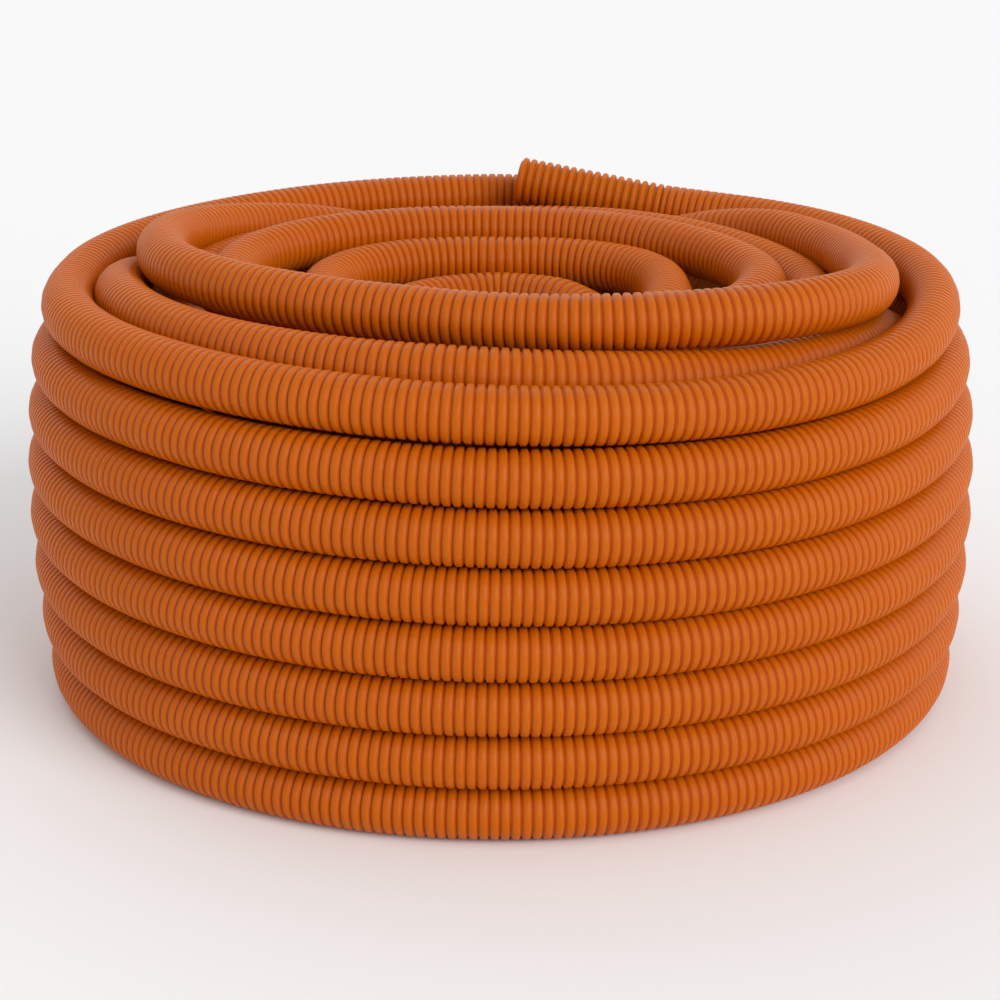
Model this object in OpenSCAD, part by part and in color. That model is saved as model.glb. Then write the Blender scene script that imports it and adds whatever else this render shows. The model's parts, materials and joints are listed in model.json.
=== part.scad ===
// Corrugated conduit, 25 m of 25 mm tube wound into a free-standing coil.
// Z is up and the coil stands on the XY plane, with its axis on the Z axis.
// Angles go from +X towards +Y, the way that the tube runs to its cut end.

/* [Conduit] */
// Outside diameter over the ribs
conduit_d = 25; // [20:0.5:32]
// Depth of the grooves between the ribs, outside
rib_h = 1.8; // [1:0.1:2.4]
// Distance from one rib to the next
rib_pitch = 4.4; // [3.6:0.1:6]
// Wall thickness, the same in ribs and grooves
wall = 0.8; // [0.5:0.05:1.1]

/* [Wound turns] */
// Centreline radius of the widest outer turn
turn_r = 216; // [190:1:260]
// How far the lowest outer turn draws in from the widest one
barrel = 6; // [0:0.5:10]
// Number of tight turns in the outer layer
outer_turns = 7; // [5:1:9]
// Slack between the outer and the middle layer
outer_slack = 5.5; // [0:0.5:8]

/* [Loose turns] */
// How far the outermost loose turn lies inside the widest outer turn
loose_inset = 11; // [5:0.5:15]

/* [Free end] */
// Number of ribs on the straight free end
end_ribs = 18; // [8:1:24]
// Place of the cut, right of the coil's axis
end_x = 10; // [0:1:20]
// How far the cut lies inside the outermost loose turn
end_inset = 20; // [16:0.5:25]
// Height of the cut's middle above the wound turns
end_rise = 26.5; // [24:0.5:32]
// Compass angle that the cut end points to
end_azimuth = 170; // [165:1:175]
// Angle that the cut end points up by
end_lift = 9; // [6:0.5:12]

/* [Hidden] */

conduit_orange = "#C8641E";
turn_facets = 96;
tube_facets = 48;

conduit_r = conduit_d / 2;
middle_r = turn_r - conduit_d - outer_slack;
inner_r = middle_r - conduit_d;
wound_h = outer_turns * conduit_d;

// The widest outer turn, counted from the lowest as 0
widest_turn = 3.2;
// The inner layer has one turn less than the outer one, and lies a little looser.
inner_turns = outer_turns - 1;
inner_step = 1.008 * conduit_d;
inner_top = conduit_r + (inner_turns - 1) * inner_step;
// The hidden middle turns end this far below the top inner turn.
middle_top = inner_top - 0.95 * conduit_d;
// The two highest turns in the eye lean inwards. Each pair is the lean and the rise
// from the top inner turn, in conduit diameters.
leaning = [[0.5, 0.85], [0.58, 1.81]];

function outer_turn_r(i) = turn_r - barrel * pow((i - widest_turn) / widest_turn, 2);

// Centres of the turns as [radius, height]
outer_centres = [for (i = [0 : outer_turns - 1]) [outer_turn_r(i), conduit_r + i * conduit_d]];
inner_centres = [for (i = [0 : inner_turns - 1]) [inner_r, conduit_r + i * inner_step]];
leaning_centres = [for (l = leaning)
    [inner_r - l[0] * conduit_d, inner_top + l[1] * conduit_d]];
lowest_middle = [middle_r, conduit_r];

function reversed(list) = [for (i = [len(list) - 1 : -1 : 0]) list[i]];

// The hidden middle turns, as one plain core that joins the centres of the others
core_outline = concat(
    outer_centres,
    [[middle_r, middle_top]],
    reversed(inner_centres),
    [lowest_middle]
);

module wound_turns() {
    color(conduit_orange)
        rotate_extrude($fn = turn_facets)
            union() {
                for (c = concat(outer_centres, inner_centres, leaning_centres, [lowest_middle]))
                    translate(c)
                        circle(d = conduit_d, $fn = tube_facets);
                polygon(core_outline);
            }
}

// Routes of the loose turns, laid by hand on top of the wound ones. Each row is the angle,
// how far the centreline lies inside loose_r, and its rise above wound_h.
loose_r = turn_r - loose_inset;
slack_route = [
    // up out of the groove between the layers, once round and back down into it
    [115, 17.5, -24], [125, 19, -17], [140, 19.5, -8.5], [160, 22, 2.5], [178, 24, 13],
    [195, 24.5, 19.5], [215, 24, 22], [240, 24, 23], [265, 23.5, 22.5], [285, 23.5, 18.5],
    [305, 24, 12.5], [325, 24.5, 9.5], [345, 23, -0.5], [370, 20, -16], [395, 17.5, -27],
    [420, 16.5, -32.5], [436, 18, -29], [451, 20.5, -19],
    // the slack turn across the top, which sinks under the free end
    [466, 24, -5.5], [484, 25.5, 8.5], [502, 27.5, 18], [520, 34, 25.5], [540, 43.5, 31.5],
    [565, 50.5, 36], [590, 58.5, 37.5], [612, 61, 37.5], [634, 51, 37.5], [656, 33.5, 39],
    [674, 21, 38], [688, 19, 35], [704, 27, 29.5], [720, 34.5, 24], [740, 33.5, 19],
    [758, 31.5, 16], [772, 33, 8], [786, 32.5, -6]
];
last_route = [
    // out from behind the free end, round the rim and in again to the free end
    [805, -3, 12.5], [820, -1, 12.5], [850, -0.5, 12.5], [884, -2, 13], [920, -0.5, 12.5],
    [970, -0.5, 12.5], [1020, -2, 13], [1060, -0.5, 13], [1095, -0.5, 13],
    [1118, 1.5, 12.5], [1131, 4.5, 12]
];
// Insets and rises follow the conduit's size.
route_fit = conduit_d / 25;
function radius_on(rows, angle) = loose_r - route_fit * lookup(angle, [for (p = rows) [p[0], p[1]]]);
function height_on(rows, angle) = wound_h + route_fit * lookup(angle, [for (p = rows) [p[0], p[2]]]);
function on_route(rows, angle) = [
    radius_on(rows, angle) * cos(angle),
    radius_on(rows, angle) * sin(angle),
    height_on(rows, angle)
];

end_axis = [
    cos(end_lift) * cos(end_azimuth),
    cos(end_lift) * sin(end_azimuth),
    sin(end_lift)
];
end_length = end_ribs * rib_pitch;
end_cut = [end_x, loose_r - end_inset * route_fit, wound_h + end_rise * route_fit];
end_root = end_cut - end_length * end_axis;

// A loose tube has a ring of corners at each step and at the last row.
route_step = 15;
route_sides = 12;
function centreline(rows) = let (start = rows[0][0], end = rows[len(rows) - 1][0]) concat(
    [for (angle = [start : route_step : end]) on_route(rows, angle)],
    [on_route(rows, end)]
);

function unit(v) = v / norm(v);
function heading(line, i) = unit(
    line[min(i + 1, len(line) - 1)] - line[max(i - 1, 0)]
);
function ring(middle, along) =
    let (across = unit(cross(along, [0, 0, 1])), upward = cross(across, along))
        [for (s = [0 : route_sides - 1])
            middle
            + conduit_r * cos(360 * s / route_sides) * across
            + conduit_r * sin(360 * s / route_sides) * upward];

// A plain tube along the points of line, whose end face is square to end_heading
module plain_tube(line, end_heading) {
    last = len(line) - 1;
    corners = [for (i = [0 : last]) each ring(line[i], i == last ? end_heading : heading(line, i))];
    sides = [for (i = [0 : last - 1], s = [0 : route_sides - 1])
        let (next = (s + 1) % route_sides)
            [
                i * route_sides + s,
                i * route_sides + next,
                (i + 1) * route_sides + next,
                (i + 1) * route_sides + s
            ]];
    start_cap = [for (s = [route_sides - 1 : -1 : 0]) s];
    end_cap = [for (s = [0 : route_sides - 1]) last * route_sides + s];
    color(conduit_orange)
        polyhedron(points = corners, faces = concat(sides, [start_cap, end_cap]));
}

module slack_turns() {
    line = centreline(slack_route);
    plain_tube(line, heading(line, len(line) - 1));
}

// The last turn ends face to face with the free end.
module last_turn() {
    plain_tube(concat(centreline(last_route), [end_root]), end_axis);
}

// One rib of the wall, each point a share of the pitch and of the groove depth.
// Ribs are broad and rounded, and grooves are narrow with a flat floor.
outer_wave = [
    [0, 0], [0.1, 0], [0.19, 0.6], [0.28, 0.88], [0.4, 1],
    [0.6, 1], [0.72, 0.88], [0.81, 0.6], [0.9, 0]
];
inner_wave = [
    [0, 0], [0.19, 0], [0.28, 0.6], [0.36, 0.88], [0.44, 1],
    [0.56, 1], [0.64, 0.88], [0.72, 0.6], [0.81, 0]
];
groove_r = conduit_r - rib_h;
bore_r = groove_r - wall;

function wave_line(wave, low_r) = concat(
    [for (n = [0 : end_ribs - 1], w = wave)
        [low_r + rib_h * w[1], (n + w[0]) * rib_pitch]],
    [[low_r, end_length]]
);

module free_end() {
    color(conduit_orange)
        translate(end_cut)
            rotate([0, 0, end_azimuth])
                rotate([0, 90 - end_lift, 0])
                    translate([0, 0, -end_length])
                        rotate_extrude($fn = tube_facets)
                            polygon(concat(
                                wave_line(outer_wave, groove_r),
                                reversed(wave_line(inner_wave, bore_r))
                            ));
}

wound_turns();
slack_turns();
last_turn();
free_end();
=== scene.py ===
import json
import math

import bpy
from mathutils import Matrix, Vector


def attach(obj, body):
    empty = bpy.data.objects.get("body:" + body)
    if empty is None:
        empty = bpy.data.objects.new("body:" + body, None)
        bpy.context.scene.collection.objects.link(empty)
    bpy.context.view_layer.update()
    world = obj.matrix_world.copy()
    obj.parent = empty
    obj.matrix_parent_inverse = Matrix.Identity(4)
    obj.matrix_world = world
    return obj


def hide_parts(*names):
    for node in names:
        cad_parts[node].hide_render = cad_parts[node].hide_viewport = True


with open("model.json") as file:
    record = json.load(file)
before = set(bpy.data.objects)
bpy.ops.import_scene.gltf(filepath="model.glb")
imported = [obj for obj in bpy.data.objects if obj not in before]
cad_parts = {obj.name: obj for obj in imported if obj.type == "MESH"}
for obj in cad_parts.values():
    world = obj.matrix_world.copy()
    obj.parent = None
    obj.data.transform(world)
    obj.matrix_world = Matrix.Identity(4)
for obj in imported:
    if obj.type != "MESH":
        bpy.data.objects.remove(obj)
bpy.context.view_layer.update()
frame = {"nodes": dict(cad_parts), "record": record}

# The camera has a long lens, stands a little above the coil and looks down across its rim.
# It comes first, because where a cord may lie depends on what the camera sees.
view_distance = 1.2295
view_height = 0.503
view_aside = -0.0004
look_down = 0.331
lens_mm = 94.8
sensor_mm = 36
bpy.ops.object.select_all(action="DESELECT")
bpy.ops.object.camera_add(
    location=(view_aside, -view_distance, view_height), rotation=(math.pi / 2 - look_down, 0, 0)
)
camera = bpy.context.object
camera.data.sensor_width = sensor_mm
camera.data.lens = lens_mm
bpy.context.scene.camera = camera
bpy.context.scene.view_settings.view_transform = "Standard"

# The conduit's route: one tube from the inner end on the floor of the eye to the cut end.
# It is a list of stations, each an angle that keeps growing from turn to turn, a radius
# and a height, for the tube's centreline. Level turns step up about a diameter at a time.
mm = 0.001
conduit_d = 25 * mm
conduit_r = conduit_d / 2
turn_r = 216 * mm
barrel = 6 * mm
outer_turns = 7
widest_turn = 3.2
loose_inset = 11 * mm
loose_r = turn_r - loose_inset
wound_h = outer_turns * conduit_d
outer_slack = 5.5 * mm
middle_r = turn_r - conduit_d - outer_slack
inner_r = middle_r - conduit_d
inner_turns = 6
inner_step = 1.008 * conduit_d
stations = []

# The inner layer climbs from its end on the floor, and each step up lies at the front. The
# highest turn has no step: there the route goes on into the eye.
inner_end_angle = 55
climb_start = 240
climb_end = 300
stations.append((inner_end_angle, inner_r, conduit_r))
for turn in range(inner_turns):
    height = conduit_r + turn * inner_step
    stations.append((360 * turn + climb_start, inner_r, height))
    stations.append((360 * turn + climb_end, inner_r, height + inner_step))
stations.pop()

# The loose turns in the eye lie on each other. Each row is the angle, radius and height, in
# degrees and millimetres.
eye_turns = 5
eye_route = [
    # the highest turn of the inner layer leans inwards, then goes in under the loose loops
    (-60, 147, 159), (200, 147, 159), (225, 142, 160), (250, 130, 160), (270, 118, 160),
    (290, 104, 157), (315, 86, 151), (340, 70, 150),
    # the smallest loop
    (360, 60, 153), (385, 58, 160), (420, 61, 167), (450, 65, 167), (480, 64, 167), (510, 60, 167),
    (540, 58, 167), (585, 57, 169), (630, 62, 173), (675, 72, 177), (705, 79, 179.5),
    # the next loop
    (720, 80, 180), (735, 83.5, 180), (751, 91, 180), (765, 94, 180), (780, 92.5, 180),
    (795, 90, 180), (810, 87, 180), (825, 91, 180), (840, 95, 180), (855, 97, 180),
    (870, 95, 180), (885, 90, 180), (900, 84, 180), (930, 80, 181), (960, 82, 183),
    (990, 92, 186), (1020, 106, 188), (1050, 119, 189.5),
    # the widest loop, just under the slack turn
    (1080, 125.5, 190), (1110, 119.5, 190), (1140, 115.5, 190), (1170, 114, 190),
    (1200, 121, 190.5), (1220, 128, 191), (1239, 132, 191), (1260, 131, 190.5), (1290, 129, 189.5),
    (1320, 128, 188.5), (1350, 129, 187.5), (1395, 139, 185), (1425, 147, 183),
    # once round on top of the inner layer
    (1440, 150, 182), (1452, 151, 182), (1485, 148, 184), (1506, 149, 184), (1530, 155, 181),
    (1560, 154, 181), (1590, 157, 182), (1620, 157, 182), (1645, 154, 182), (1665, 153, 182),
    # outwards and down into the groove between the layers
    (1690, 156, 181), (1710, 162, 177), (1730, 169, 169), (1745, 175, 160), (1760, 181, 152),
    (1780, 185, 141), (1800, 187, 132), (1830, 187, 123), (1860, 187, 118), (1880, 187, 122),
    (1895, 187, 131), (1905, 187, 142),
]
loops_base = 360 * inner_turns
stations += [(loops_base + angle, radius * mm, height * mm) for angle, radius, height in eye_route]
slack_base = loops_base + 360 * eye_turns

# The slack turns repeat the CAD's rows: the angle, how far the tube lies inside loose_r, and
# its rise above wound_h. Most rows came from a scratch program that pushed touching turns
# apart, rounded to half a millimetre, and the others were then changed by hand.
slack_turns = 2
slack_route = [
    # up out of the groove, once round and back down into it
    (115, 17.5, -24), (125, 19, -17), (140, 19.5, -8.5), (160, 22, 2.5), (178, 24, 13),
    (195, 24.5, 19.5), (215, 24, 22), (240, 24, 23), (265, 23.5, 22.5), (285, 23.5, 18.5),
    (305, 24, 12.5), (325, 24.5, 9.5), (345, 23, -0.5), (370, 20, -16), (395, 17.5, -27),
    (420, 16.5, -32.5), (436, 18, -29), (451, 20.5, -19),
    # the slack turn across the top, which sinks under the free end
    (466, 24, -5.5), (484, 25.5, 8.5), (502, 27.5, 18), (520, 34, 25.5), (540, 43.5, 31.5),
    (565, 50.5, 36), (590, 58.5, 37.5), (612, 61, 37.5), (634, 51, 37.5), (656, 33.5, 39),
    (674, 21, 38), (688, 19, 35), (704, 27, 29.5), (720, 34.5, 24), (740, 33.5, 19),
    (758, 31.5, 16), (772, 33, 8), (786, 32.5, -6),
]


def above_rim(route, base):
    """The route's rows as stations, with the angle counted on from base."""
    return [
        (base + angle, loose_r - inset * mm, wound_h + rise * mm) for angle, inset, rise in route
    ]


stations += above_rim(slack_route, slack_base)

# The middle layer winds down to the floor, hidden behind the outer one. Its first rows share
# a channel with the run up to the slack turns, and the two overlap there by up to 21 mm,
# which a real tube can't do. Radius and height are in metres here.
middle_turns = 2
middle_base = slack_base + 360 * slack_turns
outer_base = middle_base + 360 * middle_turns
stations += [
    (middle_base + 80, 0.174, 0.157),
    (middle_base + 95, 0.181, 0.143),
    (middle_base + 110, 0.185, 0.130),
    (middle_base + 130, middle_r, 0.116),
    (middle_base + 480, middle_r, 0.038),
    (middle_base + 560, middle_r, conduit_r),
    (outer_base + 118, middle_r, conduit_r),
]

# The outer layer climbs again. The highest turn steps up first, so that each one below
# finds its place free, and the last step leads on to the rim.
step_start = 45
step_lag = 10
step_width = 40
parts_of_turn = 12
front = 270
sag_mm = 0.55


def wave_at(angle, turn):
    """In front, turns sag a little on the right and stand a little higher on the left."""
    at_the_back = angle % 360 < 180
    if at_the_back:
        return 0
    return -sag_mm * turn * mm * math.sin(math.radians(2 * (angle - front)))


for turn in range(outer_turns):
    radius = turn_r - barrel * ((turn - widest_turn) / widest_turn) ** 2
    height = conduit_r + turn * conduit_d
    arrives = 360 * turn + step_start + step_lag * (outer_turns - turn) + step_width
    leaves = 360 * (turn + 1) + step_start + step_lag * (outer_turns - 1 - turn)
    for part in range(parts_of_turn + 1):
        angle = arrives + (leaves - arrives) * part / parts_of_turn
        stations.append((outer_base + angle, radius, height + wave_at(angle, turn)))

# The last turn runs round the rim and in again to the free end. Some of its rows came from the
# same scratch program as the slack turns' rows, and the rest were chosen by hand.
last_route = [
    (805, -3, 12.5), (820, -1, 12.5), (850, -0.5, 12.5), (884, -2, 13), (900, -0.5, 12.5),
    (925, -0.5, 12.5), (945, -0.5, 12.5), (970, -0.5, 12.5), (990, -0.5, 12.5), (1015, -2, 13),
    (1035, -2, 13), (1060, -0.5, 13), (1080, -0.5, 13), (1095, -0.5, 13),
    (1118, 1.5, 12.5), (1131, 4.5, 12),
]
for angle, radius, height in above_rim(last_route, outer_base + 360 * (outer_turns - 2)):
    stations.append((angle, radius, height + wave_at(angle, outer_turns)))

# The stations become points a few millimetres apart, with every corner rounded off.
sample_angle = 1
rounding = 6


def between(rows, angle):
    """The radius and height at an angle, between two rows. Rows that lie behind are dropped."""
    while len(rows) > 2 and rows[1][0] < angle:
        rows.pop(0)
    (start, *low), (end, *high) = rows[:2]
    share = (angle - start) / (end - start)
    return [here + (there - here) * share for here, there in zip(low, high)]


rows = list(stations)
first_angle = math.ceil(stations[0][0])
last_angle = math.floor(stations[-1][0])
rough = [between(rows, angle) for angle in range(first_angle, last_angle + 1, sample_angle)]
route = []
for index in range(len(rough)):
    reach = min(rounding, index, len(rough) - 1 - index)
    near = rough[index - reach : index + reach + 1]
    radius = sum(place[0] for place in near) / len(near)
    height = sum(place[1] for place in near) / len(near)
    turned = math.radians(first_angle + index * sample_angle)
    route.append(Vector((radius * math.cos(turned), radius * math.sin(turned), height)))

# The free end leaves the last turn along the bore's own axis. The route stops a little short
# of it and comes in along the same axis.
join_room = 6 * mm
join_straight_mm = 2.2
bore = next(mount for mount in frame["record"]["mounts"] if mount["name"] == "cable_entry")
end_axis = Vector(bore["axis"])
end_length = bore["dims"]["length_mm"] * mm
end_root = Vector(bore["pos_m"]) - end_axis * end_length / 2
while (end_root - route[-1]).length < join_room:
    route.pop()
route.append(end_root - end_axis * join_straight_mm * mm)
route.append(end_root)
distance = [0.0]
for before, after in zip(route, route[1:]):
    distance.append(distance[-1] + (after - before).length)

# The conduit is extruded PVC, corrugated while it is soft, and its ribs are all alike. They are
# modelled 18 at a time, as many as the free end has, only so that one length can be repeated.
rib_pitch = 4.4 * mm
rib_height = 1.8 * mm
block_ribs = 18
block_length = block_ribs * rib_pitch
groove_r = conduit_r - rib_height
# Each pair is a share of the pitch and a share of the rib's height. The plain wave, with fewer
# sides, is for the layers behind, which show little or not at all.
full_sides = 20
full_wave = [(0, 0), (0.14, 0.72), (0.25, 0.98), (0.75, 0.98), (0.86, 0.72), (1, 0)]
plain_sides = 12
plain_wave = [(0, 0), (0.25, 0.9), (0.75, 0.9), (1, 0)]
same_place = 0.01 * mm
nearest_knot = 1 * mm
blocks = int(distance[-1] // block_length)
spare = distance[-1] - blocks * block_length


def point_at(along):
    """The route's point at that distance from its start."""
    low, high = 0, len(distance) - 1
    while high - low > 1:
        middle = (low + high) // 2
        if distance[middle] <= along:
            low = middle
        else:
            high = middle
    share = (along - distance[low]) / (distance[high] - distance[low])
    return route[low].lerp(route[high], share)


def only(obj):
    """Makes obj the one selected and active object."""
    bpy.ops.object.select_all(action="DESELECT")
    obj.select_set(True)
    bpy.context.view_layer.objects.active = obj


def block_of_ribs(name, sides, wave):
    """A short length of conduit: a ring is extruded along a rib, and the rib is repeated."""
    bpy.ops.object.select_all(action="DESELECT")
    bpy.ops.mesh.primitive_circle_add(vertices=sides, radius=groove_r, rotation=(0, math.pi / 2, 0))
    block = bpy.context.object
    block.name = name
    bpy.ops.object.transform_apply(rotation=True)
    bpy.ops.object.mode_set(mode="EDIT")
    bpy.ops.mesh.select_all(action="SELECT")
    ring_r = [groove_r + rib_height * height for _, height in wave]
    for index in range(1, len(wave)):
        forward = (wave[index][0] - wave[index - 1][0]) * rib_pitch
        grow = ring_r[index] / ring_r[index - 1]
        bpy.ops.mesh.extrude_region_move(TRANSFORM_OT_translate={"value": (forward, 0, 0)})
        bpy.ops.transform.resize(value=(1, grow, grow), center_override=(0, 0, 0))
    bpy.ops.mesh.select_all(action="SELECT")
    bpy.ops.mesh.normals_make_consistent(inside=False)
    bpy.ops.object.mode_set(mode="OBJECT")
    repeat(block, block_ribs, rib_pitch)
    # Each point's depth into its groove: the mask for the painted groove shade in the material.
    groove = block.data.attributes.new("groove", "FLOAT", "POINT")
    for vertex in block.data.vertices:
        ring = math.hypot(vertex.co.y, vertex.co.z)
        groove.data[vertex.index].value = 1 - (ring - groove_r) / rib_height
    return block


def repeat(obj, count, step):
    """An array of count copies along X, joined at their rims."""
    only(obj)
    array = obj.modifiers.new("array", "ARRAY")
    array.count = count
    array.use_relative_offset = False
    array.use_constant_offset = True
    array.constant_offset_displace = (step, 0, 0)
    array.use_merge_vertices = True
    array.merge_threshold = same_place
    bpy.ops.object.modifier_apply(modifier=array.name)


def wound_tube(name, block, first, last, material):
    """Blocks first to last of the conduit, laid along their stretch of the route."""
    start = spare + first * block_length
    end = spare + last * block_length
    inside = [along for along in distance if start + nearest_knot < along < end - nearest_knot]
    points = [point_at(along) for along in [start] + inside + [end]]
    line = bpy.data.curves.new(name + "_line", "CURVE")
    line.dimensions = "3D"
    line.twist_mode = "Z_UP"
    spline = line.splines.new("POLY")
    spline.points.add(len(points) - 1)
    for knot, place in zip(spline.points, points):
        knot.co = (*place, 1)
    guide = bpy.data.objects.new(name + "_line", line)
    bpy.context.collection.objects.link(guide)
    tube = block.copy()
    tube.data = block.data.copy()
    tube.name = name
    bpy.context.collection.objects.link(tube)
    repeat(tube, last - first, block_length)
    bend = tube.modifiers.new("bend", "CURVE")
    bend.object = guide
    bpy.ops.object.modifier_apply(modifier=bend.name)
    bpy.data.objects.remove(guide)
    only(tube)
    bpy.ops.object.shade_smooth()
    tube.data.materials.append(material)
    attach(tube, "root")
    return tube


def linear(colour):
    """An sRGB hex colour as linear red, green, blue and alpha."""
    channels = [int(colour[digit : digit + 2], 16) / 255 for digit in (1, 3, 5)]
    levels = [
        channel / 12.92 if channel <= 0.04045 else ((channel + 0.055) / 1.055) ** 2.4
        for channel in channels
    ]
    return (*levels, 1)


def add_node(tree, kind, settings=(), links=()):
    """A new node, with settings on its sockets or itself, and links into its inputs."""
    node = tree.nodes.new(kind)
    for key, value in dict(settings).items():
        if key in node.inputs:
            node.inputs[key].default_value = value
        else:
            setattr(node, key, value)
    for key, source in dict(links).items():
        tree.links.new(source, node.inputs[key])
    return node


# Orange PVC, extruded and corrugated: a satin skin with a faint shine, into which light sinks
# a little way. The grooves get painted shade, a darker and redder colour than the ribs that stands
# in for the shade and reddened bounce light in them, and the tone drifts a little from place to
# place.
patch_size = 60 * mm
groove_shade_share = 0.7
conduit_orange = bpy.data.materials.new("conduit_pvc")
conduit_orange.use_nodes = True
tree = conduit_orange.node_tree
tree.nodes.clear()
place = add_node(tree, "ShaderNodeTexCoord")
patches = add_node(
    tree, "ShaderNodeTexNoise", {"Scale": 1 / patch_size, "Detail": 3},
    {"Vector": place.outputs["Object"]},
)
# A colour mix takes its two colours at sockets 6 and 7, and gives the result at output 2.
tone = add_node(tree, "ShaderNodeMix", {"data_type": "RGBA"}, {"Factor": patches.outputs["Fac"]})
tone.inputs[6].default_value = linear("#B85A04")
tone.inputs[7].default_value = linear("#C06206")
# Painted shade: the deeper a point lies in its groove, the more of the darker, redder colour it gets.
groove = add_node(tree, "ShaderNodeAttribute", {"attribute_name": "groove"})
groove_shade_amount = add_node(tree, "ShaderNodeMath", {"operation": "MULTIPLY"}, {0: groove.outputs["Fac"]})
groove_shade_amount.inputs[1].default_value = groove_shade_share
painted_groove_shade = add_node(
    tree, "ShaderNodeMix", {"data_type": "RGBA"}, {0: groove_shade_amount.outputs[0], 6: tone.outputs[2]}
)
painted_groove_shade.inputs[7].default_value = linear("#AE3604")
shader = add_node(
    tree, "ShaderNodeBsdfPrincipled",
    {
        "Roughness": 0.38, "IOR": 1.53, "Specular IOR Level": 0.12, "Subsurface Weight": 0.5,
        "Subsurface Radius": (1.0, 0.2, 0.04), "Subsurface Scale": 0.003,
    },
    {"Base Color": painted_groove_shade.outputs[2]},
)
add_node(tree, "ShaderNodeOutputMaterial", {}, {"Surface": shader.outputs["BSDF"]})

full_block = block_of_ribs("full_block", full_sides, full_wave)
plain_block = block_of_ribs("plain_block", plain_sides, plain_wave)


def block_near(angle):
    """The whole number of blocks that ends nearest to that angle of the route."""
    along = distance[round((angle - first_angle) / sample_angle)]
    return round((along - spare) / block_length)


# The one tube is cut into lengths where it goes from layer to layer, and the outer layer twice
# more at the back, so that no length holds too many faces. Each angle is counted from the
# base of its own route.
inner_low_end = block_near(loops_base - 60)
loops_end = block_near(loops_base + 1660)
groove_end = block_near(slack_base + 115)
slack_end = block_near(slack_base + 790)
middle_end = block_near(outer_base + 120)
outer_low_end = block_near(outer_base + 100 + 360 * 3)
outer_mid_end = block_near(outer_base + 100 + 360 * 5)
wound_tube("inner_low", plain_block, 0, inner_low_end, conduit_orange)
wound_tube("eye_loops", full_block, inner_low_end, loops_end, conduit_orange)
wound_tube("groove_run", plain_block, loops_end, groove_end, conduit_orange)
slack = wound_tube("slack", full_block, groove_end, slack_end, conduit_orange)
wound_tube("middle", plain_block, slack_end, middle_end, conduit_orange)
wound_tube("outer_low", full_block, middle_end, outer_low_end, conduit_orange)
wound_tube("outer_mid", full_block, outer_low_end, outer_mid_end, conduit_orange)
last = wound_tube("outer_high", full_block, outer_mid_end, blocks, conduit_orange)
bpy.data.objects.remove(full_block)
bpy.data.objects.remove(plain_block)
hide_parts("slack_turns")
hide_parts("last_turn", "wound_turns")
free_end = frame["nodes"]["free_end"]
for place_slot in free_end.material_slots:
    place_slot.material = conduit_orange

# The floor is a wide sheet of matt white paper, which keeps the coil's soft shadow. A pale
# world and two broad lamps light it evenly, and past the floor the camera sees white.
floor_size = 12
world_strength = 0.68
lamp_spread = 0.7
bpy.ops.object.select_all(action="DESELECT")
bpy.ops.mesh.primitive_plane_add(size=floor_size, location=(0, 0, 0))
floor = bpy.context.object
floor.name = "floor"
paper = bpy.data.materials.new("white_paper")
paper.use_nodes = True
paper.node_tree.nodes["Principled BSDF"].inputs["Base Color"].default_value = linear("#F8F8F8")
paper.node_tree.nodes["Principled BSDF"].inputs["Roughness"].default_value = 0.9
floor.data.materials.append(paper)

world = bpy.data.worlds.new("studio")
bpy.context.scene.world = world
world.use_nodes = True
tree = world.node_tree
light = tree.nodes["Background"]
light.inputs["Color"].default_value = (1, 1, 1, 1)
light.inputs["Strength"].default_value = world_strength
white = add_node(tree, "ShaderNodeBackground", {"Color": (1, 1, 1, 1), "Strength": 1})
ray = add_node(tree, "ShaderNodeLightPath")
seen = add_node(
    tree, "ShaderNodeMath", {"operation": "MAXIMUM"},
    {0: ray.outputs["Is Camera Ray"], 1: ray.outputs["Is Glossy Ray"]},
)
through = add_node(
    tree, "ShaderNodeMath", {"operation": "MAXIMUM"},
    {0: seen.outputs[0], 1: ray.outputs["Is Transmission Ray"]},
)
mix = add_node(
    tree, "ShaderNodeMixShader", {}, {0: through.outputs[0], 1: light.outputs[0], 2: white.outputs[0]}
)
tree.links.new(mix.outputs[0], tree.nodes["World Output"].inputs["Surface"])


def soft_light(name, place, strength):
    """A wide, even light that shines from place towards the coil."""
    bpy.ops.object.light_add(type="SUN", location=place)
    lamp = bpy.context.object
    lamp.name = name
    lamp.data.energy = strength
    lamp.data.angle = lamp_spread
    lamp.rotation_euler = Vector(place).to_track_quat("Z", "Y").to_euler()


soft_light("key", (1.2, -1.45, 1.0), 1.75)
soft_light("rim", (-0.6, 1.2, 1.3), 0.25)
